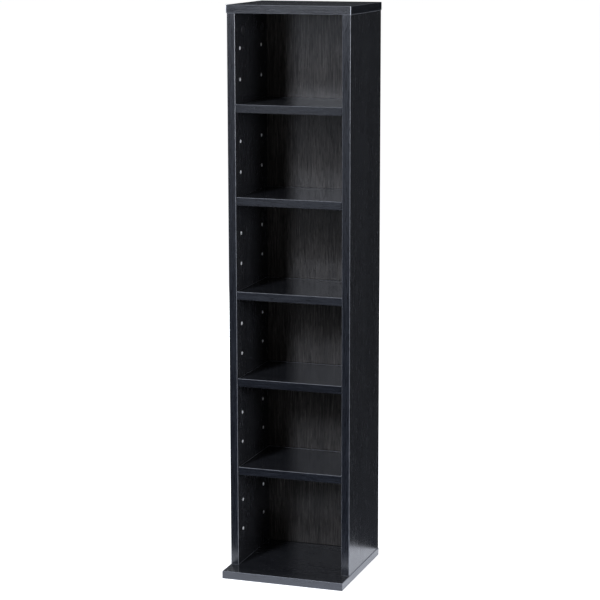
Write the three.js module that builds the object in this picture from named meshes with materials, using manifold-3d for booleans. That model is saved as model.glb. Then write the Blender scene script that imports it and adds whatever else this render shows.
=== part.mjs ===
// A tall, narrow, open-fronted storage tower for discs, made of black woodgrain boards.
// Two sides stand on a base that reaches forward, a top lies on them, and a thin back sits in grooves.
// The middle shelf is fixed with cams. The other four lie on pins, in a grid of holes in the sides.
// Millimetres, X to the right, Y to the back, Z up. It stands on z = 0, centred in X and in Y.

import * as THREE from 'three';
import { mergeVertices } from 'three/addons/utils/BufferGeometryUtils.js';
import Module from 'manifold-3d';

const wasm = await Module();
wasm.setup();

// The boards
const boardThickness = 16;
const carcassWidth = 248;
const sideDepth = 198;
const sideHeight = 1096;
const topFrontReach = 2;
const topSideReach = 1;
const topRearReach = 1;
const baseFrontReach = 47;
const baseSideReach = 1;
const arris = 0.8;

// The back panel and its grooves
const backThickness = 3;
const backInset = 14;
const grooveDepth = 6;
const grooveFit = 0.2;
const grooveEndGap = 0.5;

// The shelves
const shelfCount = 5;
const shelfSetback = 1;
const shelfRearGap = 2;
const shelfEndGap = 1.2;

// The two columns of pin holes in each side
const holeDiameter = 6;
const holeBoardLeft = 5;
const holePitch = 60;
const holeEndDistance = 68;
const holeFrontInset = 28;
const holeRearInset = 50;

// The shelf pins, and the notches over them in the shelves' undersides
const pinDiameter = 6;
const pinReach = 9;
const pinStemGap = 1.5;
const pinFlangeDiameter = 8.6;
const pinFlangeThickness = 1;
const pinEndEase = 0.8;
const pinCover = 2;
const notchFit = 0.2;
const notchEndGap = 1;

// The cam fittings: a bolt in one board, drawn into the other by a turned drum
const camDiameter = 14.6;
const camSink = 0.2;
const camInset = 34;
const camBoardLeft = 3.3;
const camFootGap = 0.5;
const camCavityRadius = 5.7;
const camCavityOffset = 0.3;
const camLipHeight = 3.4;
const camRecessSpan = 7.6;
const camRecessWidth = 1.8;
const camRecessDepth = 2.4;
const boltHeadDiameter = 6;
const boltHeadStandoff = 2.6;
const boltNeckDiameter = 3.6;
const boltNeckLength = 9;
const boltShankDiameter = 6.8;
const boltBoreDiameter = 8;
const boltThreadGap = 1;
const capDiameter = 17.6;
const capThickness = 0.9;
const capStubDiameter = 1.6;
const capStubLength = 1.8;

// The screws and dowels at the ends of the sides
const fixingInset = 45;
const dowelInset = 76;
const dowelDiameter = 8;
const dowelLength = 30;
const dowelBoardLeft = 5.5;
const dowelEase = 1;
const dowelEndGap = 0.5;
const screwLength = 50;
const screwHeadDiameter = 10;
const screwHeadHeight = 4;
const screwShankDiameter = 7;
const screwCoreDiameter = 4.8;
const screwPointLength = 4;
const screwSink = 1;
const screwSocketAcross = 4;
const screwSocketDepth = 2.4;
const screwEndGap = 2;

// Clearances that several pieces share
const seatGap = 0.05;
const runningFit = 0.1;
const overrun = 1;

// Facets round the turned pieces and holes
const finePieceSides = 12;
const camSides = 16;
const gateSides = 8;
const socketSides = 6;
const halfCircleSteps = finePieceSides / 2;
const boltHeadSteps = 3;

// Worked out from the sizes above
const innerHalfWidth = carcassWidth / 2 - boardThickness;
const sideMiddleX = carcassWidth / 2 - boardThickness / 2;
const overallDepth = baseFrontReach + sideDepth + topRearReach;
const sideFrontY = baseFrontReach - overallDepth / 2;
const sideFootZ = boardThickness;
const sideHeadZ = sideFootZ + sideHeight;
const backRearY = sideDepth - backInset;
const backFrontY = backRearY - backThickness;
const shelfDepth = backFrontY - shelfRearGap - shelfSetback;
const shelfMiddleY = shelfSetback + shelfDepth / 2;
const holeRows = Math.floor((sideHeight - 2 * holeEndDistance) / holePitch) + 1;
const rowsPerShelf = Math.round((holeRows + 1) / (shelfCount + 1));
const holeDepth = boardThickness - holeBoardLeft;
const holeColumns = { front: holeFrontInset, rear: sideDepth - holeRearInset };
const fixingColumns = { front: fixingInset, rear: sideDepth - fixingInset };
const dowelColumns = { front: dowelInset, rear: sideDepth - dowelInset };
const hands = { left: -1, right: 1 };
const pinStemLength = holeDepth - pinStemGap;
const boltThreadLength = holeDepth - boltThreadGap;
const boltAxisDepth = boardThickness / 2;
const camBoreDepth = boardThickness - camBoardLeft;
const camHeight = camBoreDepth - camSink - camFootGap;
const dowelBoardDepth = boardThickness - dowelBoardLeft;
const boltReach = camInset - boltHeadStandoff;
const screwBoreDiameter = screwShankDiameter + 2 * runningFit;
const screwPilotDiameter = screwCoreDiameter + 2 * runningFit;
const dowelBoreDiameter = dowelDiameter + 2 * runningFit;

const right = new THREE.Vector3(1, 0, 0);
const backward = new THREE.Vector3(0, 1, 0);
const up = new THREE.Vector3(0, 0, 1);

const boardFinish = new THREE.MeshStandardMaterial({ color: 0x1b1c20, roughness: 0.38, metalness: 0 });
const backFinish = new THREE.MeshStandardMaterial({ color: 0x222023, roughness: 0.5, metalness: 0 });
const pinMetal = new THREE.MeshStandardMaterial({ color: 0xb9bcc0, roughness: 0.3, metalness: 1 });
const camMetal = new THREE.MeshStandardMaterial({ color: 0x9a9ca0, roughness: 0.45, metalness: 1 });
const screwMetal = new THREE.MeshStandardMaterial({ color: 0xa8a49a, roughness: 0.35, metalness: 1 });
const capPlastic = new THREE.MeshStandardMaterial({ color: 0x17181b, roughness: 0.45, metalness: 0 });
const dowelWood = new THREE.MeshStandardMaterial({ color: 0xc9a877, roughness: 0.8, metalness: 0 });

function solidOf(geometry) {
  const bare = new THREE.BufferGeometry();
  const plain = geometry.index ? geometry.toNonIndexed() : geometry;
  bare.setAttribute('position', plain.getAttribute('position').clone());
  const merged = mergeVertices(bare);
  const vertProperties = new Float32Array(merged.getAttribute('position').array);
  const triVerts = new Uint32Array(merged.getIndex().array);
  return new wasm.Manifold(new wasm.Mesh({ numProp: 3, vertProperties, triVerts }));
}

function geometryOf(solid) {
  const mesh = solid.getMesh();
  const geometry = new THREE.BufferGeometry();
  geometry.setAttribute('position', new THREE.BufferAttribute(new Float32Array(mesh.vertProperties), 3));
  geometry.setIndex(new THREE.BufferAttribute(new Uint32Array(mesh.triVerts), 1));
  geometry.computeVertexNormals();
  return geometry;
}

function cut(geometry, tools) {
  let solid = solidOf(geometry);
  for (const tool of tools) {
    solid = solid.subtract(solidOf(tool));
  }
  return geometryOf(solid);
}

// A piece turned about Z, from pairs of radius and height that start and end on the axis.
function turned(profile, sides) {
  const points = profile.map(([radius, height]) => new THREE.Vector2(radius, height));
  const geometry = new THREE.LatheGeometry(points, sides);
  geometry.rotateX(Math.PI / 2);
  return geometry;
}

function rod(radius, low, high, sides = finePieceSides) {
  return turned([[0, low], [radius, low], [radius, high], [0, high]], sides);
}

// Turns a piece made along Z to lie along a direction, with its own X along another, and moves it.
function standing(axis, across, place) {
  const side = new THREE.Vector3().crossVectors(axis, across);
  const matrix = new THREE.Matrix4().makeBasis(across, side, axis);
  matrix.setPosition(place);
  return matrix;
}

function along(geometry, axis, across, place) {
  return geometry.applyMatrix4(standing(axis, across, place));
}

function at(x, y, z) {
  return new THREE.Vector3(x, y, z);
}

function block(low, high) {
  const size = high.clone().sub(low);
  const middle = low.clone().add(high).multiplyScalar(1 / 2);
  const geometry = new THREE.BoxGeometry(size.x, size.y, size.z);
  geometry.translate(middle.x, middle.y, middle.z);
  return geometry;
}

// A mesh whose own origin is at a given place, from geometry drawn in the tower's frame.
function pieceFromTower(name, geometry, material, origin) {
  geometry.translate(-origin.x, -origin.y, -origin.z);
  const mesh = new THREE.Mesh(geometry, material);
  mesh.name = name;
  mesh.position.copy(origin);
  return mesh;
}

// A mesh drawn about its own axis, then stood along a direction.
function fitting(name, geometry, material, axis, across, place) {
  const mesh = new THREE.Mesh(geometry, material);
  mesh.name = name;
  mesh.applyMatrix4(standing(axis, across, place));
  return mesh;
}

// The side view of a cam joint: which way the bolt runs, which way the drum faces, and where they start.
function camJoint(start, boltAxis, camAxis) {
  const toStart = boltAxis.clone().negate();
  const camFace = start.clone();
  camFace.addScaledVector(boltAxis, camInset);
  camFace.addScaledVector(camAxis, boltAxisDepth);
  return { start, boltAxis, camAxis, toStart, camFace };
}

function boltHoleTool(joint) {
  const hole = rod(holeDiameter / 2, -holeDepth, overrun);
  return along(hole, joint.boltAxis, joint.camAxis, joint.start);
}

function camJointTools(joint) {
  const boltBore = rod(boltBoreDiameter / 2, -overrun, camInset);
  const camBore = rod(camDiameter / 2 + 2 * runningFit, -camBoreDepth, overrun, camSides);
  return [
    along(boltBore, joint.boltAxis, joint.camAxis, joint.start),
    along(camBore, joint.camAxis, joint.toStart, joint.camFace),
  ];
}

// The bolt: a thread at core size in its hole, a collar on the face, a shank, a thin neck and a ball head.
function boltGeometry() {
  const threadRadius = holeDiameter / 2 - runningFit;
  const shankRadius = boltShankDiameter / 2;
  const neckRadius = boltNeckDiameter / 2;
  const headRadius = boltHeadDiameter / 2;
  const neckStart = boltReach - boltNeckLength;
  const profile = [[0, -boltThreadLength], [threadRadius, -boltThreadLength]];
  profile.push([threadRadius, seatGap]);
  profile.push([shankRadius, seatGap]);
  profile.push([shankRadius, neckStart - pinEndEase]);
  profile.push([neckRadius, neckStart]);
  const neckAngle = Math.asin(neckRadius / headRadius);
  for (let step = 0; step < boltHeadSteps; step += 1) {
    const angle = neckAngle + ((Math.PI - neckAngle) * step) / boltHeadSteps;
    profile.push([headRadius * Math.sin(angle), boltReach - headRadius * Math.cos(angle)]);
  }
  profile.push([0, boltReach + headRadius]);
  return turned(profile, finePieceSides);
}

// A flat fan of the given angle, as tall as low to high, for the slot that the bolt's neck runs in.
function fan(radius, startAngle, endAngle, low, high) {
  const shape = new THREE.Shape();
  shape.moveTo(0, 0);
  shape.absarc(0, 0, radius, startAngle, endAngle, false);
  shape.closePath();
  const settings = { depth: high - low, bevelEnabled: false, curveSegments: halfCircleSteps };
  const geometry = new THREE.ExtrudeGeometry(shape, settings);
  geometry.translate(0, 0, low);
  return geometry;
}

// The drum: its face is z = 0 and X points at the bolt. The cavity is off centre, so that turning the
// drum draws the head in. The bolt enters through the wide gate and is held behind the narrow slot.
function camGeometry() {
  const boltZ = camSink - boltAxisDepth;
  const headRoom = boltHeadDiameter / 2 + notchFit;
  const neckRoom = camLipHeight / 2 + 2 * notchFit;
  const outside = camDiameter / 2 + overrun;
  const floorZ = -camHeight - overrun;
  const cavity = rod(camCavityRadius, floorZ, boltZ + headRoom, camSides);
  cavity.translate(-camCavityOffset, 0, 0);
  const slotStart = -Math.PI / 6;
  const slotEnd = Math.PI * 0.72;
  const slot = fan(outside, slotStart, slotEnd, boltZ - neckRoom, boltZ + neckRoom);
  const gate = rod(headRoom, 0, outside, gateSides);
  along(gate, at(Math.cos(slotEnd), Math.sin(slotEnd), 0), up, at(0, 0, boltZ));
  const tools = [cavity, slot, gate];
  for (const sizeX of [camRecessSpan, camRecessWidth]) {
    const sizeY = camRecessSpan + camRecessWidth - sizeX;
    const low = at(-sizeX / 2, -sizeY / 2, -camRecessDepth);
    tools.push(block(low, at(sizeX / 2, sizeY / 2, overrun)));
  }
  return cut(rod(camDiameter / 2, -camHeight, 0, camSides), tools);
}

function capGeometry() {
  const edge = capDiameter / 2;
  const rim = capThickness / 2;
  const stub = capStubDiameter / 2;
  const profile = [[0, -capStubLength], [stub, -capStubLength], [stub, 0], [edge, 0]];
  profile.push([edge, rim]);
  profile.push([edge - rim, capThickness]);
  profile.push([0, capThickness]);
  return turned(profile, camSides);
}

// The pin: a stem in the hole, a flange on the side's face, and a plain end that the shelf lies on.
function pinGeometry() {
  const stemRadius = holeDiameter / 2 - runningFit;
  const flangeRadius = pinFlangeDiameter / 2;
  const radius = pinDiameter / 2;
  const profile = [[0, -pinStemLength], [stemRadius, -pinStemLength], [stemRadius, seatGap]];
  profile.push([flangeRadius, seatGap]);
  profile.push([flangeRadius, pinFlangeThickness]);
  profile.push([radius, pinFlangeThickness]);
  profile.push([radius, pinReach - pinEndEase]);
  profile.push([radius - pinEndEase, pinReach]);
  profile.push([0, pinReach]);
  return turned(profile, finePieceSides);
}

function dowelGeometry() {
  const radius = dowelDiameter / 2;
  const half = dowelLength / 2;
  const profile = [[0, -half], [radius - dowelEase, -half], [radius, dowelEase - half]];
  profile.push([radius, half - dowelEase]);
  profile.push([radius - dowelEase, half]);
  profile.push([0, half]);
  return turned(profile, finePieceSides);
}

// The screw points up from z = 0 at its head, which has a six-sided socket.
function screwGeometry() {
  const headRadius = screwHeadDiameter / 2;
  const shankRadius = screwShankDiameter / 2;
  const coreRadius = screwCoreDiameter / 2;
  const shankTop = boardThickness - screwSink;
  const profile = [[0, 0], [headRadius, 0], [headRadius, screwHeadHeight / 4]];
  profile.push([shankRadius, screwHeadHeight]);
  profile.push([shankRadius, shankTop]);
  profile.push([coreRadius, shankTop]);
  profile.push([coreRadius, screwLength - screwPointLength]);
  profile.push([0, screwLength]);
  const socket = rod(screwSocketAcross / 2, -overrun, screwSocketDepth, socketSides);
  return cut(turned(profile, finePieceSides), [socket]);
}

function screwTools(x, y) {
  const headRadius = screwHeadDiameter / 2 + runningFit;
  const bore = screwBoreDiameter / 2;
  const headBottom = screwSink + screwHeadHeight / 4;
  const profile = [[0, -overrun], [headRadius, -overrun], [headRadius, headBottom]];
  profile.push([bore, screwSink + screwHeadHeight]);
  profile.push([bore, boardThickness + overrun]);
  profile.push([0, boardThickness + overrun]);
  const through = turned(profile, finePieceSides);
  through.translate(x, y, 0);
  const pilot = rod(screwPilotDiameter / 2, boardThickness - overrun, screwSink + screwLength + screwEndGap);
  pilot.translate(x, y, 0);
  return { through, pilot };
}

// A dowel hole across a joint face at height z, deeper on the side's own end than in the board.
function dowelTool(x, y, z, towardBoard) {
  const sideDepthInEnd = dowelLength - dowelBoardDepth;
  const below = towardBoard < 0 ? dowelBoardDepth : sideDepthInEnd;
  const above = towardBoard < 0 ? sideDepthInEnd : dowelBoardDepth;
  const tool = rod(dowelBoreDiameter / 2, -below - dowelEndGap, above + dowelEndGap);
  tool.translate(x, y, z);
  return tool;
}

// A slice across a board, thickness along X and depth along Y, with its front corners eased.
function boardSlice(thickness, depth) {
  const half = thickness / 2;
  const shape = new THREE.Shape();
  shape.moveTo(arris - half, 0);
  shape.lineTo(half - arris, 0);
  shape.lineTo(half, arris);
  shape.lineTo(half, depth);
  shape.lineTo(-half, depth);
  shape.lineTo(-half, arris);
  shape.closePath();
  return shape;
}

// A lying board that is eased all round, from its low to its high corner.
function easedBoard(low, high) {
  const shape = new THREE.Shape();
  shape.moveTo(low.x + arris, low.y + arris);
  shape.lineTo(high.x - arris, low.y + arris);
  shape.lineTo(high.x - arris, high.y - arris);
  shape.lineTo(low.x + arris, high.y - arris);
  shape.closePath();
  const depth = high.z - low.z - 2 * arris;
  const bevel = { bevelEnabled: true, bevelSize: arris, bevelThickness: arris, bevelSegments: 1 };
  const geometry = new THREE.ExtrudeGeometry(shape, { depth, ...bevel });
  geometry.translate(0, 0, low.z + arris);
  return geometry;
}

function shelfBoard(length, middleZ) {
  const slice = boardSlice(boardThickness, shelfDepth);
  const geometry = new THREE.ExtrudeGeometry(slice, { depth: length, bevelEnabled: false });
  geometry.translate(0, 0, -length / 2);
  geometry.rotateY(Math.PI / 2);
  geometry.translate(0, shelfSetback, middleZ);
  return geometry;
}

// An upright arch with a round crown, cut in from a shelf's end over a pin.
function notchTool(hand, y, pinZ) {
  const radius = pinDiameter / 2 + notchFit;
  const length = pinReach - shelfEndGap + notchEndGap + overrun;
  const shape = new THREE.Shape();
  shape.moveTo(-radius, -pinCover - overrun);
  shape.lineTo(radius, -pinCover - overrun);
  shape.lineTo(radius, 0);
  shape.absarc(0, 0, radius, 0, Math.PI, false);
  shape.closePath();
  const settings = { depth: length, bevelEnabled: false, curveSegments: halfCircleSteps };
  const geometry = new THREE.ExtrudeGeometry(shape, settings);
  geometry.translate(0, 0, -overrun);
  const inward = right.clone().multiplyScalar(-hand);
  const across = backward.clone().multiplyScalar(-hand);
  return along(geometry, inward, across, at(hand * (innerHalfWidth - shelfEndGap), y, pinZ));
}

function rowHeight(row) {
  return sideFootZ + holeEndDistance + holePitch * (row - 1);
}

function grooveWidth() {
  return backThickness + 2 * grooveFit;
}

// The three sorts of joint that hold the carcass, one of each per side and column.
function fixedShelfJoint(hand, y, row) {
  const inward = right.clone().multiplyScalar(-hand);
  return camJoint(at(hand * innerHalfWidth, y, rowHeight(row)), inward, up.clone().negate());
}

function topJoint(hand, y) {
  const inward = right.clone().multiplyScalar(-hand);
  return camJoint(at(hand * sideMiddleX, y, sideHeadZ), up.clone().negate(), inward);
}

function sidePanel(name, hand) {
  const slice = boardSlice(boardThickness, sideDepth);
  const length = sideHeight - 2 * seatGap;
  const geometry = new THREE.ExtrudeGeometry(slice, { depth: length, bevelEnabled: false });
  geometry.translate(hand * sideMiddleX, 0, sideFootZ + seatGap);
  const outward = right.clone().multiplyScalar(hand);
  const tools = [];
  for (const y of Object.values(holeColumns)) {
    for (let row = 1; row <= holeRows; row += 1) {
      const hole = rod(holeDiameter / 2, -overrun, holeDepth);
      tools.push(along(hole, outward, up, at(hand * innerHalfWidth, y, rowHeight(row))));
    }
  }
  for (const y of Object.values(fixingColumns)) {
    tools.push(...camJointTools(topJoint(hand, y)));
    tools.push(screwTools(hand * sideMiddleX, y).pilot);
  }
  for (const y of Object.values(dowelColumns)) {
    tools.push(dowelTool(hand * sideMiddleX, y, sideFootZ, -1));
    tools.push(dowelTool(hand * sideMiddleX, y, sideHeadZ, 1));
  }
  const inner = hand * (innerHalfWidth - overrun);
  const outer = hand * (innerHalfWidth + grooveDepth);
  const low = at(Math.min(inner, outer), backFrontY - grooveFit, sideFootZ - overrun);
  const high = at(Math.max(inner, outer), backFrontY - grooveFit + grooveWidth(), sideHeadZ + overrun);
  tools.push(block(low, high));
  return pieceFromTower(name, cut(geometry, tools), boardFinish, at(hand * sideMiddleX, 0, sideFootZ));
}

function grooveTool(fromZ, toZ) {
  const reach = innerHalfWidth + grooveDepth;
  const low = at(-reach, backFrontY - grooveFit, fromZ);
  return block(low, at(reach, backFrontY - grooveFit + grooveWidth(), toZ));
}

function topPanel() {
  const reach = carcassWidth / 2 + topSideReach;
  const low = at(-reach, -topFrontReach, sideHeadZ);
  const high = at(reach, sideDepth + topRearReach, sideHeadZ + boardThickness);
  const tools = [grooveTool(sideHeadZ - overrun, sideHeadZ + grooveDepth)];
  for (const hand of Object.values(hands)) {
    for (const y of Object.values(fixingColumns)) {
      tools.push(boltHoleTool(topJoint(hand, y)));
    }
    for (const y of Object.values(dowelColumns)) {
      tools.push(dowelTool(hand * sideMiddleX, y, sideHeadZ, 1));
    }
  }
  return pieceFromTower('top_panel', cut(easedBoard(low, high), tools), boardFinish, at(0, 0, sideHeadZ));
}

function basePanel() {
  const reach = carcassWidth / 2 + baseSideReach;
  const low = at(-reach, -baseFrontReach, 0);
  const high = at(reach, sideDepth, sideFootZ);
  const tools = [grooveTool(sideFootZ - grooveDepth, sideFootZ + overrun)];
  for (const hand of Object.values(hands)) {
    for (const y of Object.values(fixingColumns)) {
      tools.push(screwTools(hand * sideMiddleX, y).through);
    }
    for (const y of Object.values(dowelColumns)) {
      tools.push(dowelTool(hand * sideMiddleX, y, sideFootZ, -1));
    }
  }
  return pieceFromTower('base_panel', cut(easedBoard(low, high), tools), boardFinish, at(0, 0, 0));
}

function backPanel() {
  const reachX = innerHalfWidth + grooveDepth - grooveEndGap;
  const reachZ = grooveDepth - grooveEndGap;
  const low = at(-reachX, backFrontY, sideFootZ - reachZ);
  const high = at(reachX, backRearY, sideHeadZ + reachZ);
  return pieceFromTower('back_panel', block(low, high), backFinish, at(0, backFrontY, sideFootZ));
}

function fixedShelf(row) {
  const z = rowHeight(row);
  const tools = [];
  for (const hand of Object.values(hands)) {
    for (const y of Object.values(holeColumns)) {
      tools.push(...camJointTools(fixedShelfJoint(hand, y, row)));
    }
  }
  const board = shelfBoard(2 * (innerHalfWidth - seatGap), z);
  return pieceFromTower('fixed_shelf', cut(board, tools), boardFinish, at(0, shelfMiddleY, z));
}

function adjustableShelf(number, row) {
  const pinZ = rowHeight(row);
  const middleZ = pinZ - pinCover + boardThickness / 2;
  const tools = [];
  for (const hand of Object.values(hands)) {
    for (const y of Object.values(holeColumns)) {
      tools.push(notchTool(hand, y, pinZ));
    }
  }
  const board = shelfBoard(2 * (innerHalfWidth - shelfEndGap), middleZ);
  const name = `adjustable_shelf_${number}`;
  return pieceFromTower(name, cut(board, tools), boardFinish, at(0, shelfMiddleY, middleZ));
}

// Calls make(hand, y, label) once for each side and column.
function everyCorner(columns, make) {
  const pieces = [];
  for (const [handName, hand] of Object.entries(hands)) {
    for (const [columnName, y] of Object.entries(columns)) {
      pieces.push(make(hand, y, `${handName}_${columnName}`));
    }
  }
  return pieces;
}

function shelfPins(number, row) {
  return everyCorner(holeColumns, (hand, y, label) => {
    const inward = right.clone().multiplyScalar(-hand);
    const place = at(hand * innerHalfWidth, y, rowHeight(row));
    return fitting(`shelf_${number}_pin_${label}`, pinGeometry(), pinMetal, inward, up, place);
  });
}

function boltPiece(name, joint) {
  return fitting(name, boltGeometry(), camMetal, joint.boltAxis, joint.camAxis, joint.start);
}

function camPiece(name, joint) {
  const face = joint.camFace.clone().addScaledVector(joint.camAxis, -camSink);
  return fitting(name, camGeometry(), camMetal, joint.camAxis, joint.toStart, face);
}

function fixedShelfFittings(row) {
  return everyCorner(holeColumns, (hand, y, label) => {
    const joint = fixedShelfJoint(hand, y, row);
    return [boltPiece(`fixed_shelf_bolt_${label}`, joint), camPiece(`fixed_shelf_cam_${label}`, joint)];
  }).flat();
}

function topFittings() {
  return everyCorner(fixingColumns, (hand, y, label) => {
    const joint = topJoint(hand, y);
    const capPlace = joint.camFace.clone().addScaledVector(joint.camAxis, seatGap);
    const cap = capGeometry();
    return [
      boltPiece(`top_bolt_${label}`, joint),
      camPiece(`top_cam_${label}`, joint),
      fitting(`top_cam_cap_${label}`, cap, capPlastic, joint.camAxis, joint.toStart, capPlace),
    ];
  }).flat();
}

function baseScrews() {
  return everyCorner(fixingColumns, (hand, y, label) => {
    const place = at(hand * sideMiddleX, y, screwSink);
    return fitting(`base_screw_${label}`, screwGeometry(), screwMetal, up, right, place);
  });
}

function dowels(end, jointZ, towardBoard) {
  return everyCorner(dowelColumns, (hand, y, label) => {
    const shift = towardBoard * (dowelBoardDepth - dowelLength / 2);
    const place = at(hand * sideMiddleX, y, jointZ + shift);
    return fitting(`${end}_dowel_${label}`, dowelGeometry(), dowelWood, up, right, place);
  });
}

const tower = new THREE.Group();
const carcass = new THREE.Group();
carcass.position.set(0, sideFrontY, 0);
tower.add(carcass);

carcass.add(sidePanel('left_side_panel', hands.left), sidePanel('right_side_panel', hands.right));
carcass.add(topPanel(), basePanel(), backPanel());

const fixedShelfRow = rowsPerShelf * ((shelfCount + 1) / 2);
carcass.add(fixedShelf(fixedShelfRow), ...fixedShelfFittings(fixedShelfRow));

// Adjustable shelves are numbered from the top down, leaving out the fixed one.
let shelfNumber = 0;
for (let place = shelfCount; place >= 1; place -= 1) {
  const row = rowsPerShelf * place;
  if (row !== fixedShelfRow) {
    shelfNumber += 1;
    carcass.add(adjustableShelf(shelfNumber, row), ...shelfPins(shelfNumber, row));
  }
}

carcass.add(...topFittings(), ...baseScrews());
carcass.add(...dowels('base', sideFootZ, -1), ...dowels('top', sideHeadZ, 1));

export default tower;
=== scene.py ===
# A tall open disc tower in near-black woodgrain board, dressed over its fixed frame.
# Metres throughout: X to the right seen from the open front, Y to the back, Z up.
import math

import bmesh
import bpy
from mathutils import Matrix, Vector


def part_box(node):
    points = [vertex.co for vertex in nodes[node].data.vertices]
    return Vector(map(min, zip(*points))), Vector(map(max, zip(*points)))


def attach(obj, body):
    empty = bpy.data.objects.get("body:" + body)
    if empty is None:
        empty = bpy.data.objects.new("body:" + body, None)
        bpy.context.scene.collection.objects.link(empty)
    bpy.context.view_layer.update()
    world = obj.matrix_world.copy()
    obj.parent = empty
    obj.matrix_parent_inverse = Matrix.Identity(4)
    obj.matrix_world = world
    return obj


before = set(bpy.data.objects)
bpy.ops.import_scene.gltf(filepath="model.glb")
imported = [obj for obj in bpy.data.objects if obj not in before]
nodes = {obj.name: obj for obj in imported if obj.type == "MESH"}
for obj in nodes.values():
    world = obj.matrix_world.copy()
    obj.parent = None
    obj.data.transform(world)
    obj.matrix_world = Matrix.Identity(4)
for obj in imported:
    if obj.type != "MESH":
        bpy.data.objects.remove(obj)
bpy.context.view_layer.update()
scene = bpy.context.scene
scene.view_settings.view_transform = "Standard"
print("frame loaded,", len(nodes), "pieces")


# Small helpers for node trees.
def addNode(tree, kind, inputs=None, **settings):
    node = tree.nodes.new(kind)
    for name, value in settings.items():
        setattr(node, name, value)
    for key, value in (inputs or {}).items():
        if isinstance(value, bpy.types.NodeSocket):
            tree.links.new(value, node.inputs[key])
        else:
            node.inputs[key].default_value = value
    return node


def mathOf(tree, operation, first, second=0.0, third=0.0):
    node = addNode(tree, "ShaderNodeMath", {0: first, 1: second, 2: third}, operation=operation)
    return node.outputs[0]


def vectorOf(tree, operation, first, second=(0.0, 0.0, 0.0)):
    node = addNode(tree, "ShaderNodeVectorMath", {0: first, 1: second}, operation=operation)
    return node.outputs["Vector"]


def axesOf(tree, vector):
    return addNode(tree, "ShaderNodeSeparateXYZ", {0: vector}).outputs


def ranged(tree, value, low, high, outLow=0.0, outHigh=1.0):
    inputs = {"Value": value, "From Min": low, "From Max": high, "To Min": outLow, "To Max": outHigh}
    return addNode(tree, "ShaderNodeMapRange", inputs).outputs["Result"]


def blended(tree, share, first, second):
    node = addNode(tree, "ShaderNodeMix", data_type="RGBA")
    for socket, value in zip((node.inputs[0], node.inputs[6], node.inputs[7]), (share, first, second)):
        if isinstance(value, bpy.types.NodeSocket):
            tree.links.new(value, socket)
        else:
            socket.default_value = value if isinstance(value, float) else (*value, 1.0)
    return node.outputs[2]


def chosen(tree, share, first, second):
    node = addNode(tree, "ShaderNodeMix", data_type="VECTOR")
    for socket, value in zip((node.inputs[0], node.inputs[4], node.inputs[5]), (share, first, second)):
        tree.links.new(value, socket)
    return node.outputs[1]


def noise(tree, place, scale=1.0, detail=2.0, roughness=0.5, distortion=0.0):
    inputs = {"Vector": place, "Scale": scale, "Detail": detail, "Roughness": roughness}
    inputs["Distortion"] = distortion
    return addNode(tree, "ShaderNodeTexNoise", inputs).outputs["Fac"]


def objectPlace(tree):
    return addNode(tree, "ShaderNodeTexCoord").outputs["Object"]


def newMaterial(name, **sockets):
    material = bpy.data.materials.new(name)
    material.use_nodes = True
    tree = material.node_tree
    shader = tree.nodes["Principled BSDF"]
    for key, value in sockets.items():
        shader.inputs[key.replace("_", " ")].default_value = value
    return material, tree, shader


def bumped(tree, shader, height, strength, distance):
    inputs = {"Height": height, "Strength": strength, "Distance": distance}
    bump = addNode(tree, "ShaderNodeBump", inputs)
    tree.links.new(bump.outputs["Normal"], shader.inputs["Normal"])


def dressed(names, material):
    for name in names:
        mesh = nodes[name].data
        mesh.materials.clear()
        mesh.materials.append(material)


# The foil on the boards. Sizes in metres, counts per metre. A tint multiplies the foil's own colour.
foilLook = {
    "ground": (0.0107, 0.0112, 0.0134),     # the foil between its streaks
    "streak": (0.0214, 0.0223, 0.0252),     # pale fibres
    "streaks": (270.0, 24.0),               # across the grain and along it
    "streakRange": (0.55, 0.95),
    "clouds": (24.0, 1.0),                  # broad light and dark bands under the streaks
    "cloudShare": 0.5,
    "pore": (0.0045, 0.0048, 0.0059),       # short dark dashes
    "pores": (900.0, 60.0),
    "poreRange": (0.6, 0.68),
    "poreShare": 0.8,
    "seedShift": (1.37, 0.73, 2.11),        # how far the grain moves on from board to board
    "band": (0.62, 0.68, 0.80),             # tint of the edge bands
    "upFaceShading": None,                         # painted light and shade: a tint of the upper and lower faces

    "shine": 0.42,
    "roughness": (0.2, 0.28),
    "bandRoughness": (0.19, 0.27),
    "smears": 9.0,
    "glossShares": (0.65, 0.35),            # what the streaks and the smears have in the sheen
    "glossRange": (0.38, 0.62),
    "grainDepth": 0.00004,
    "grainStrength": 0.5,
    "streakHeight": 0.4,                    # against the pores' depth of one
    "chipHeight": 2.0,

    "arris": (0.15, 0.157, 0.175),          # foil rubbed pale along an edge, partly a painted highlight
    "arrisRange": (0.97, 0.85),             # how far such a face has turned from square
    "arrisRise": -2.0,                      # arrises that face up less than this stay dark, so the painted highlight sits on the upper ones
    "rubs": 90.0,
    "rubRange": (0.3, 0.6, 0.55, 1.0),
    "cut": (0.115, 0.12, 0.135),            # pale line along a sawn end
    "cutLine": 0.0006,
    "corner": (0.6, 0.62, 0.66),            # painted highlight where two bands meet at an upright corner
    "cornerHighlight": 0.0,
    "rear": (0.45, 0.465, 0.51),            # painted highlight near the rear of an upper face
    "rearHighlightWidth": 0.0038,
    "shade": (0.001, 0.001, 0.001),         # painted shade at its very last before the back, and matt
    "rearShade": 0.002,
    "shadeRoughness": 0.7,

    "core": (0.36, 0.27, 0.17),             # chipboard in holes and cuts
    "coreDark": (0.17, 0.11, 0.06),
    "coreInset": 0.0006,                    # deeper than this is chipboard
    "coreRoughness": 0.6,
    "chips": 700.0,
    "chipRange": (0.35, 0.65),
}
backLook = dict(
    foilLook,
    ground=(0.0180, 0.0164, 0.0154),
    streak=(0.0498, 0.0452, 0.0416),
    pore=(0.0080, 0.0074, 0.0071),
    streaks=(480.0, 24.0),
    streakRange=(0.59, 0.93),
    bandRoughness=(0.21, 0.29),
    shine=0.3,
    grainDepth=0.00009,
    band=None,
)
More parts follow.
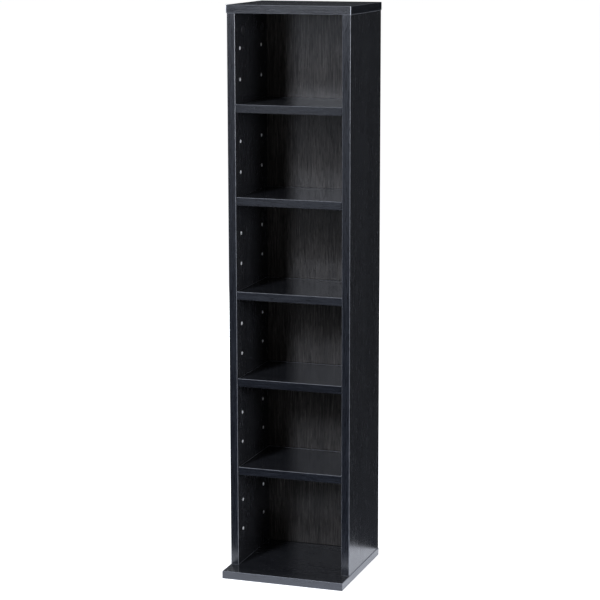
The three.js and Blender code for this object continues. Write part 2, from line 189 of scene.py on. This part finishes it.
# The top board: upper and lower faces painted darker and bluer as painted shade, and a painted highlight
# at its upright corners.
topLook = dict(foilLook, upFaceShading=(0.6, 0.72, 0.95), roughness=(0.1, 0.15), cornerHighlight=0.0008)
# The base has only the painted shade where it meets the back.
baseLook = dict(foilLook, rearHighlightWidth=0.0, rearShade=0.0042)
shelfLook = dict(
    foilLook,
    # painted light: the shelves' upper and lower faces made paler
    upFaceShading=(1.15, 1.15, 1.15),
    roughness=(0.12, 0.19),
    bandRoughness=(0.17, 0.24),
    shine=0.52,
    cutLine=0.0012,
    cut=(0.24, 0.25, 0.27),
    # painted highlight on the shelves' upper arrises only
    arrisRise=0.1,
)
shelfTones = {                              # shelves that differ a little from the rest
    "adjustable_shelf_1": {"roughness": (0.26, 0.34)},
    "fixed_shelf": {"band": (1.0, 1.06, 1.16)},
}
squareTo = 0.8                              # a face turned this much to an axis counts as facing it


def stretched(tree, place, counts, direction):
    across, lengthwise = counts
    scale = [lengthwise if axis == direction else across for axis in "xyz"]
    return vectorOf(tree, "MULTIPLY", place, scale)


# The grain runs in one direction, and in another on the ends where endDirection is given.
def grainFields(tree, place, look, direction, endDirection, onEnds):
    def laid(counts):
        main = stretched(tree, place, counts, direction)
        if not endDirection:
            return main
        return chosen(tree, onEnds, main, stretched(tree, place, counts, endDirection))

    clouds = noise(tree, laid(look["clouds"]), detail=1.0)
    streaks = noise(tree, laid(look["streaks"]), detail=3.0, roughness=0.6, distortion=0.15)
    pores = ranged(tree, noise(tree, laid(look["pores"]), detail=1.0), *look["poreRange"])
    return clouds, streaks, pores


def foilBoard(node, look, direction, endDirection=None, cutAxis=None, seed=0, backFace=None):
    low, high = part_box(node)
    middle, half = (low + high) / 2, (high - low) / 2
    material, tree, shader = newMaterial(node + "_finish", IOR=1.45, Specular_IOR_Level=look["shine"])
    place = objectPlace(tree)
    trueNormal = addNode(tree, "ShaderNodeNewGeometry").outputs["True Normal"]
    facingX, facingY, facingZ = axesOf(tree, vectorOf(tree, "ABSOLUTE", trueNormal))
    _, _, rising = axesOf(tree, trueNormal)
    onEnds = mathOf(tree, "GREATER_THAN", facingX, squareTo)
    onBand = mathOf(tree, "GREATER_THAN", facingY, squareTo)
    onTop = mathOf(tree, "GREATER_THAN", facingZ, squareTo)
    if endDirection:
        onBand = mathOf(tree, "MAXIMUM", onBand, onEnds)

    # The grain, tinted on the edge bands, and on the upper and lower faces with painted light and shade.
    shifted = vectorOf(tree, "ADD", place, [seed * step for step in look["seedShift"]])
    clouds, streaks, pores = grainFields(tree, shifted, look, direction, endDirection, onEnds)
    streakShare = mathOf(tree, "MULTIPLY_ADD", clouds, look["cloudShare"], streaks)
    streakShare = ranged(tree, streakShare, *look["streakRange"])
    colour = blended(tree, streakShare, look["ground"], look["streak"])
    colour = blended(tree, mathOf(tree, "MULTIPLY", pores, look["poreShare"]), colour, look["pore"])
    for share, tint in ((onBand, look["band"]), (onTop, look["upFaceShading"])):
        if tint:
            colour = blended(tree, share, colour, vectorOf(tree, "MULTIPLY", colour, tint))

    # Pale arrises where the chamfers are: rubbed foil, and partly a painted highlight.
    squareOn = mathOf(tree, "MAXIMUM", mathOf(tree, "MAXIMUM", facingX, facingY), facingZ)
    arris = ranged(tree, squareOn, *look["arrisRange"])
    rub = ranged(tree, noise(tree, place, scale=look["rubs"], detail=3.0), *look["rubRange"])
    arris = mathOf(tree, "MULTIPLY", arris, rub)
    arris = mathOf(tree, "MULTIPLY", arris, mathOf(tree, "GREATER_THAN", rising, look["arrisRise"]))
    colour = blended(tree, arris, colour, look["arris"])

    # Pale lines along the sawn ends, and a painted highlight at the upright corners. Depth is measured in
    # from the faces.
    fromMiddle = vectorOf(tree, "ABSOLUTE", vectorOf(tree, "SUBTRACT", place, middle))
    depth = axesOf(tree, vectorOf(tree, "SUBTRACT", half, fromMiddle))
    if cutAxis:
        nearCut = mathOf(tree, "LESS_THAN", depth["XYZ".index(cutAxis)], look["cutLine"])
        if cutAxis == "X":
            nearCut = mathOf(tree, "MULTIPLY", nearCut, onTop)
        colour = blended(tree, nearCut, colour, look["cut"])
    if look["cornerHighlight"]:
        fromCorner = mathOf(tree, "MAXIMUM", depth[0], depth[1])
        atCorner = mathOf(tree, "LESS_THAN", fromCorner, look["cornerHighlight"])
        colour = blended(tree, atCorner, colour, look["corner"])

    # The sheen, and a painted highlight line and a painted shade line where an upper face meets the back.
    smears = noise(tree, place, scale=look["smears"], detail=3.0)
    streakGloss, smearGloss = look["glossShares"]
    gloss = mathOf(tree, "MULTIPLY", smears, smearGloss)
    gloss = mathOf(tree, "MULTIPLY_ADD", streaks, streakGloss, gloss)
    faceGloss = ranged(tree, gloss, *look["glossRange"], *look["roughness"])
    bandGloss = ranged(tree, gloss, *look["glossRange"], *look["bandRoughness"])
    gloss = ranged(tree, onBand, 0.0, 1.0, faceGloss, bandGloss)
    if backFace:
        _, placeY, _ = axesOf(tree, place)
        fromBack = mathOf(tree, "ABSOLUTE", mathOf(tree, "SUBTRACT", backFace, placeY))
        # A painted highlight along the rear of an upper face.
        rearHighlit = mathOf(tree, "MULTIPLY", mathOf(tree, "LESS_THAN", fromBack, look["rearHighlightWidth"]), onTop)
        colour = blended(tree, rearHighlit, colour, look["rear"])
        # Painted shade at the very rear, made matt.
        shaded = mathOf(tree, "MULTIPLY", mathOf(tree, "LESS_THAN", fromBack, look["rearShade"]), onTop)
        colour = blended(tree, shaded, colour, look["shade"])
        gloss = mathOf(tree, "MULTIPLY_ADD", shaded, look["shadeRoughness"], gloss)

    # Holes, grooves and cuts show the chipboard inside.
    deepest = mathOf(tree, "MINIMUM", mathOf(tree, "MINIMUM", depth[0], depth[1]), depth[2])
    inside = mathOf(tree, "GREATER_THAN", deepest, look["coreInset"])
    chips = noise(tree, place, scale=look["chips"], detail=4.0, roughness=0.7)
    core = blended(tree, ranged(tree, chips, *look["chipRange"]), look["coreDark"], look["core"])
    colour = blended(tree, inside, colour, core)
    gloss = mathOf(tree, "MULTIPLY_ADD", inside, look["coreRoughness"], gloss)
    tree.links.new(colour, shader.inputs["Base Color"])
    tree.links.new(gloss, shader.inputs["Roughness"])

    height = mathOf(tree, "SUBTRACT", mathOf(tree, "MULTIPLY", streaks, look["streakHeight"]), pores)
    chipsInside = mathOf(tree, "MULTIPLY", chips, inside)
    height = mathOf(tree, "MULTIPLY_ADD", chipsInside, look["chipHeight"], height)
    bumped(tree, shader, height, look["grainStrength"], look["grainDepth"])
    dressed([node], material)


sideNames = ["left_side_panel", "right_side_panel"]
shelfNames = ["fixed_shelf"] + [f"adjustable_shelf_{k}" for k in range(1, 5)]
for seed, name in enumerate(sideNames):
    foilBoard(name, foilLook, "z", cutAxis="Z", seed=seed + 1)
foilBoard("top_panel", topLook, "x", "y", cutAxis="Z", seed=4)
foilBoard("base_panel", baseLook, "x", "y", seed=5, backFace=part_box("back_panel")[0].y)
for seed, name in enumerate(shelfNames):
    look = dict(shelfLook, **shelfTones.get(name, {}))
    foilBoard(name, look, "x", "y", cutAxis="X", seed=seed + 7, backFace=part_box(name)[1].y)
foilBoard("back_panel", backLook, "z", seed=20)
print("foil laid on the boards")


# Rounded arrises on the boards.
easeSettings = {"width": 0.00025, "segments": 2, "angle": 30.0}


def eased(node, settings):
    bevel = nodes[node].modifiers.new("ease", "BEVEL")
    bevel.width = settings["width"]
    bevel.segments = settings["segments"]
    bevel.limit_method = "ANGLE"
    bevel.angle_limit = math.radians(settings["angle"])
    bevel.harden_normals = True


for name in sideNames + shelfNames + ["top_panel", "base_panel"]:
    eased(name, easeSettings)


# Metals on the small pieces: a colour each, and the same wear on all of them.
metalLooks = {
    "linerPlate": {
        "light": (0.96, 0.96, 0.96), "dark": (0.88, 0.88, 0.89), "roughness": (0.2, 0.32), "metal": 0.12,
    },
    "pinPlate": {
        "light": (0.72, 0.72, 0.73), "dark": (0.5, 0.5, 0.52), "roughness": (0.2, 0.36), "metal": 1.0,
    },
    "camZinc": {
        "light": (0.55, 0.55, 0.57), "dark": (0.34, 0.34, 0.36), "roughness": (0.38, 0.58), "metal": 1.0,
    },
    "screwZinc": {
        "light": (0.6, 0.57, 0.48), "dark": (0.4, 0.38, 0.32), "roughness": (0.26, 0.42), "metal": 1.0,
    },
}
metalWear = {
    "patches": 420.0,
    "turning": (5000.0, 600.0, 600.0),      # fine rings round the X axis
    "range": (0.35, 0.65),
    "shares": (0.5, 0.5),                   # of turning and patches in the roughness
    "turningHeight": 0.4,
    "strength": 0.35,
    "depth": 0.00003,
}


def metalFinish(name, look, wear):
    material, tree, shader = newMaterial(name, Metallic=look["metal"])
    place = objectPlace(tree)
    patches = noise(tree, place, scale=wear["patches"], detail=4.0, roughness=0.65)
    turning = noise(tree, vectorOf(tree, "MULTIPLY", place, wear["turning"]), detail=2.0)
    share = ranged(tree, patches, *wear["range"])
    tree.links.new(blended(tree, share, look["dark"], look["light"]), shader.inputs["Base Color"])
    turningShare, patchShare = wear["shares"]
    worn = mathOf(tree, "MULTIPLY", patches, patchShare)
    worn = mathOf(tree, "MULTIPLY_ADD", turning, turningShare, worn)
    tree.links.new(ranged(tree, worn, *wear["range"], *look["roughness"]), shader.inputs["Roughness"])
    height = mathOf(tree, "MULTIPLY_ADD", turning, wear["turningHeight"], patches)
    bumped(tree, shader, height, wear["strength"], wear["depth"])
    return material


metals = {name: metalFinish(name, look, metalWear) for name, look in metalLooks.items()}
corners = ["left_front", "left_rear", "right_front", "right_rear"]
pinNames = [f"shelf_{k}_pin_{corner}" for k in range(1, 5) for corner in corners]
dressed(pinNames, metals["pinPlate"])
for start in ("fixed_shelf_bolt_", "fixed_shelf_cam_", "top_bolt_", "top_cam_"):
    dressed([start + corner for corner in corners], metals["camZinc"])
dressed(["base_screw_" + corner for corner in corners], metals["screwZinc"])

# Dark plastic on the caps over the top's cams.
capLook = {
    "light": (0.022, 0.022, 0.025),
    "dark": (0.012, 0.012, 0.014),
    "clouds": 160.0,
    "cloudRange": (0.35, 0.65),
    "roughness": (0.38, 0.52),
    "sparks": 2600.0,                       # the mould's fine texture
    "strength": 0.4,
    "depth": 0.00004,
}


def capFinish(look):
    material, tree, shader = newMaterial("capPlastic", IOR=1.49)
    place = objectPlace(tree)
    sparks = noise(tree, place, scale=look["sparks"], detail=2.0)
    clouds = noise(tree, place, scale=look["clouds"], detail=3.0)
    tree.links.new(blended(tree, clouds, look["dark"], look["light"]), shader.inputs["Base Color"])
    roughness = ranged(tree, clouds, *look["cloudRange"], *look["roughness"])
    tree.links.new(roughness, shader.inputs["Roughness"])
    bumped(tree, shader, sparks, look["strength"], look["depth"])
    return material


dressed(["top_cam_cap_" + corner for corner in corners], capFinish(capLook))

# Beech on the dowels. Counts per metre along each axis, with the grain upright.
beechLook = {
    "light": (0.62, 0.42, 0.25),
    "dark": (0.42, 0.26, 0.14),
    "grain": (900.0, 900.0, 60.0),
    "flecks": (1800.0, 1800.0, 300.0),
    "fleckRange": (0.62, 0.7),
    "fleckShare": 0.5,
    "roughness": 0.7,
    "strength": 0.6,
    "depth": 0.0001,
}


def beechFinish(look):
    material, tree, shader = newMaterial("dowelBeech", Roughness=look["roughness"])
    place = objectPlace(tree)
    grain = noise(tree, vectorOf(tree, "MULTIPLY", place, look["grain"]), detail=3.0)
    flecks = noise(tree, vectorOf(tree, "MULTIPLY", place, look["flecks"]))
    flecks = ranged(tree, flecks, *look["fleckRange"])
    colour = blended(tree, grain, look["dark"], look["light"])
    colour = blended(tree, mathOf(tree, "MULTIPLY", flecks, look["fleckShare"]), colour, look["dark"])
    tree.links.new(colour, shader.inputs["Base Color"])
    bumped(tree, shader, grain, look["strength"], look["depth"])
    return material


beech = beechFinish(beechLook)
dressed([end + "_dowel_" + corner for end in ("base", "top") for corner in corners], beech)
print("metal, plastic and beech finished")


# Pale plated sleeves in the pin holes that no pin or bolt uses.
linerSettings = {
    "innerFace": 0.108,                     # of either side panel, from the middle
    "columns": {"front": -0.048, "rear": 0.072},
    "firstRow": 0.084,
    "pitch": 0.060,
    "rows": 17,
    "taken": (3, 6, 9, 12, 15),             # rows with pins or bolts in them
    "rim": 0.0035,                          # radius of the rim, and how far it stands proud
    "rimProud": 0.0003,
    "lip": 0.00025,
    "wall": 0.00285,                        # outer and inner radius of the sleeve
    "bore": 0.0025,
    "depth": 0.0095,
    "sides": 32,
    "sharpAngle": 40.0,
}


def anglesRound(sides):
    return [2 * math.pi * step / sides for step in range(sides)]


# Turns a profile of (radius, distance along X) round the X axis. A radius of zero closes an end.
def turnedMesh(name, profile, sides, sharpAngle):
    mesh = bpy.data.meshes.new(name)
    shape = bmesh.new()
    rings = []
    for radius, along in profile:
        if radius == 0.0:
            rings.append([shape.verts.new((along, 0.0, 0.0))])
            continue
        places = [(along, radius * math.cos(a), radius * math.sin(a)) for a in anglesRound(sides)]
        rings.append([shape.verts.new(place) for place in places])
    for first, second in zip(rings, rings[1:]):
        for step in range(sides):
            following = (step + 1) % sides
            if len(first) == 1:
                shape.faces.new((first[0], second[step], second[following]))
            elif len(second) == 1:
                shape.faces.new((first[step], second[0], first[following]))
            else:
                shape.faces.new((first[step], second[step], second[following], first[following]))
    bmesh.ops.recalc_face_normals(shape, faces=shape.faces)
    for face in shape.faces:
        face.smooth = True
    shape.to_mesh(mesh)
    shape.free()
    mesh.set_sharp_from_angle(angle=math.radians(sharpAngle))
    return mesh


# From the closed end out along the wall, over the rounded rim and back down the bore.
def linerMesh(settings):
    rim, proud, lip = settings["rim"], settings["rimProud"], settings["lip"]
    wall, bore, depth = settings["wall"], settings["bore"], settings["depth"]
    profile = [(0.0, -depth), (wall, -depth), (wall, 0.0), (rim, 0.0), (rim, proud * 0.5)]
    profile += [(rim - lip * 0.5, proud), (bore + lip, proud), (bore, proud * 0.3)]
    profile += [(bore, lip - depth), (0.0, lip - depth)]
    mesh = turnedMesh("hole_liner", profile, settings["sides"], settings["sharpAngle"])
    mesh.materials.append(metals["linerPlate"])
    return mesh


def fitLiners(settings):
    mesh = linerMesh(settings)
    for sideName, hand in (("left", -1), ("right", 1)):
        turn = Matrix.Rotation(0.0 if hand < 0 else math.pi, 4, "Z")
        for columnName, y in settings["columns"].items():
            for row in range(1, settings["rows"] + 1):
                if row in settings["taken"]:
                    continue
                liner = bpy.data.objects.new(f"hole_liner_{sideName}_{columnName}_{row}", mesh)
                scene.collection.objects.link(liner)
                z = settings["firstRow"] + settings["pitch"] * (row - 1)
                liner.matrix_world = Matrix.Translation((hand * settings["innerFace"], y, z)) @ turn
                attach(liner, "carcass")


fitLiners(linerSettings)
print("hole liners fitted")


# The studio: a white floor, a white background, and dark cards that only reflections see.
studio = {
    "floorRadius": 40.0,
    "floorShade": 0.8,
    "floorGlow": 0.91,                      # what the camera sees besides the light on the paper
    "ambient": 0.12,
    "patch": (0.0, -0.02, 0.36, 0.18),      # glowing floor round the tower: middle, half width, half depth
    "patchColour": (0.93, 0.98, 1.10),
    "patchGlow": 1.38,
    "frontEdge": -0.124,                    # nearer than this the patch has its front glow
    "frontGlow": 2.9,
    "wallRadius": 4.6,
    "wallHeight": 6.0,
    "wallSides": 64,
    "ringReach": 1.0,                       # of the dark ring on the floor, past the wall
    "ringHeight": 0.001,
    "cardColour": (0.9, 0.95, 1.0, 1.0),
    "cardGlow": 0.024,
}


# A disc, or a ring round a rectangular hole.
def discMesh(name, radius, sides=64, hole=None):
    mesh = bpy.data.meshes.new(name)
    shape = bmesh.new()
    angles = anglesRound(sides)
    outer = [shape.verts.new((radius * math.cos(a), radius * math.sin(a), 0.0)) for a in angles]
    if hole is None:
        shape.faces.new(outer)
    else:
        x, y, halfX, halfY = hole
        inner = []
        for a in angles:
            reach = min(halfX / max(abs(math.cos(a)), 1e-6), halfY / max(abs(math.sin(a)), 1e-6))
            inner.append(shape.verts.new((x + reach * math.cos(a), y + reach * math.sin(a), 0.0)))
        for step in range(sides):
            following = (step + 1) % sides
            shape.faces.new((outer[step], outer[following], inner[following], inner[step]))
    shape.to_mesh(mesh)
    shape.free()
    return mesh


def staged(name, mesh, material, height=0.0):
    mesh.materials.append(material)
    piece = bpy.data.objects.new(name, mesh)
    scene.collection.objects.link(piece)
    piece.location.z = height
    return piece


def glossOnly(piece):
    piece.visible_camera = False
    piece.visible_diffuse = False
    piece.visible_transmission = False
    piece.visible_shadow = False
    piece.visible_volume_scatter = False


def layFloor(settings):
    material, tree, shader = newMaterial("floorPaper", Roughness=1.0, Specular_IOR_Level=0.0)
    shade = settings["floorShade"]
    shader.inputs["Base Color"].default_value = (shade, shade, shade, 1.0)
    shown = addNode(tree, "ShaderNodeLightPath").outputs["Is Camera Ray"]
    glowColour = blended(tree, shown, settings["patchColour"], (1.0, 1.0, 1.0))
    tree.links.new(glowColour, shader.inputs["Emission Color"])

    place = objectPlace(tree)
    x, y, halfX, halfY = settings["patch"]
    away = vectorOf(tree, "ABSOLUTE", vectorOf(tree, "SUBTRACT", place, (x, y, 0.0)))
    awayX, awayY, _ = axesOf(tree, away)
    _, placeY, _ = axesOf(tree, place)
    inFront = mathOf(tree, "LESS_THAN", placeY, settings["frontEdge"])
    patchLevel = ranged(tree, inFront, 0.0, 1.0, settings["patchGlow"], settings["frontGlow"])
    inWidth = mathOf(tree, "LESS_THAN", awayX, halfX)
    inDepth = mathOf(tree, "LESS_THAN", awayY, halfY)
    glow = mathOf(tree, "MULTIPLY", mathOf(tree, "MULTIPLY", inWidth, inDepth), patchLevel)
    glow = ranged(tree, shown, 0.0, 1.0, glow, settings["floorGlow"])
    tree.links.new(glow, shader.inputs["Emission Strength"])
    staged("floor", discMesh("floor", settings["floorRadius"]), material)


def standCards(settings):
    material, _, shader = newMaterial("darkCard", Roughness=1.0, Specular_IOR_Level=0.0)
    shader.inputs["Base Color"].default_value = (0.0, 0.0, 0.0, 1.0)
    shader.inputs["Emission Color"].default_value = settings["cardColour"]
    shader.inputs["Emission Strength"].default_value = settings["cardGlow"]
    ring = discMesh("darkRing", settings["wallRadius"] + settings["ringReach"], hole=settings["patch"])
    glossOnly(staged("dark_ring", ring, material, height=settings["ringHeight"]))
    wall = bpy.data.meshes.new("darkWall")
    shape = bmesh.new()
    bmesh.ops.create_cone(
        shape, cap_ends=False, segments=settings["wallSides"], depth=settings["wallHeight"],
        radius1=settings["wallRadius"], radius2=settings["wallRadius"],
    )
    shape.to_mesh(wall)
    shape.free()
    glossOnly(staged("dark_wall", wall, material, height=settings["wallHeight"] / 2))


# The room is white to the camera and in reflections, and dim as light.
def paintRoom(settings):
    world = bpy.data.worlds.new("studioWorld")
    scene.world = world
    world.use_nodes = True
    tree = world.node_tree
    background = tree.nodes["Background"]
    background.inputs["Color"].default_value = (1.0, 1.0, 1.0, 1.0)
    path = addNode(tree, "ShaderNodeLightPath").outputs
    shown = mathOf(tree, "MAXIMUM", path["Is Camera Ray"], path["Is Glossy Ray"])
    shown = mathOf(tree, "MAXIMUM", shown, path["Is Transmission Ray"])
    level = ranged(tree, shown, 0.0, 1.0, settings["ambient"], 1.0)
    tree.links.new(level, background.inputs["Strength"])


layFloor(studio)
standCards(studio)
paintRoom(studio)

# Lamps: where each stands, its width and height, and its power in watts. All point at lampAim.
lampAim = Vector((0.0, 0.0, 0.6))
lampColours = {"cool": (0.95, 1.0, 1.12), "pale": (0.97, 1.0, 1.07)}
lamps = {
    "keyHigh": {"place": (-0.927, -2.853, 2.32), "size": (0.5, 1.0), "power": 66.0, "colour": "cool"},
    "keyMiddle": {"place": (-0.927, -2.853, 1.5), "size": (0.5, 0.7), "power": 17.5, "colour": "cool"},
    "keyFoot": {"place": (-0.927, -2.853, 0.5), "size": (0.5, 0.6), "power": 1.08, "colour": "cool"},
    "rightCard": {"place": (2.34, -0.42, 1.0), "size": (2.2, 2.0), "power": 9.0, "colour": "pale"},
    "rightKey": {"place": (2.70, -1.32, 1.1), "size": (0.8, 0.9), "power": 33.0, "colour": "pale"},
    "rightFill": {"place": (1.88, -2.59, 1.2), "size": (0.9, 1.4), "power": 4.8, "colour": "pale"},
    "rearLeft": {"place": (-1.95, 2.35, 0.62), "size": (1.2, 1.0), "power": 60.0, "colour": "pale"},
}


def hangLamps(settings, aim, colours):
    for name, lamp in settings.items():
        data = bpy.data.lights.new(name, "AREA")
        data.shape = "RECTANGLE"
        data.size, data.size_y = lamp["size"]
        data.energy = lamp["power"]
        data.color = colours[lamp["colour"]]
        light = bpy.data.objects.new(name, data)
        scene.collection.objects.link(light)
        light.location = lamp["place"]
        light.rotation_euler = (aim - Vector(lamp["place"])).to_track_quat("-Z", "Y").to_euler()


hangLamps(lamps, lampAim, lampColours)
print("studio and lamps ready")


# The camera, fitted to the photograph's edges and holes. Turn, tilt and roll in degrees, lens in mm.
cameraSettings = {
    "place": (1.2915, -3.7795, 1.3024),
    "turn": 18.907,
    "tilt": -10.689,
    "roll": -0.103,
    "lens": 123.56,
    "sensor": 36.0,
    "clip": (0.05, 100.0),
}


def placeCamera(settings):
    data = bpy.data.cameras.new("camera")
    data.lens = settings["lens"]
    data.sensor_width = settings["sensor"]
    data.clip_start, data.clip_end = settings["clip"]
    camera = bpy.data.objects.new("camera", data)
    scene.collection.objects.link(camera)
    turn = Matrix.Rotation(math.radians(settings["turn"]), 4, "Z")
    tilt = Matrix.Rotation(math.radians(90.0 + settings["tilt"]), 4, "X")
    roll = Matrix.Rotation(math.radians(settings["roll"]), 4, "Z")
    camera.matrix_world = Matrix.Translation(settings["place"]) @ turn @ tilt @ roll
    scene.camera = camera


placeCamera(cameraSettings)
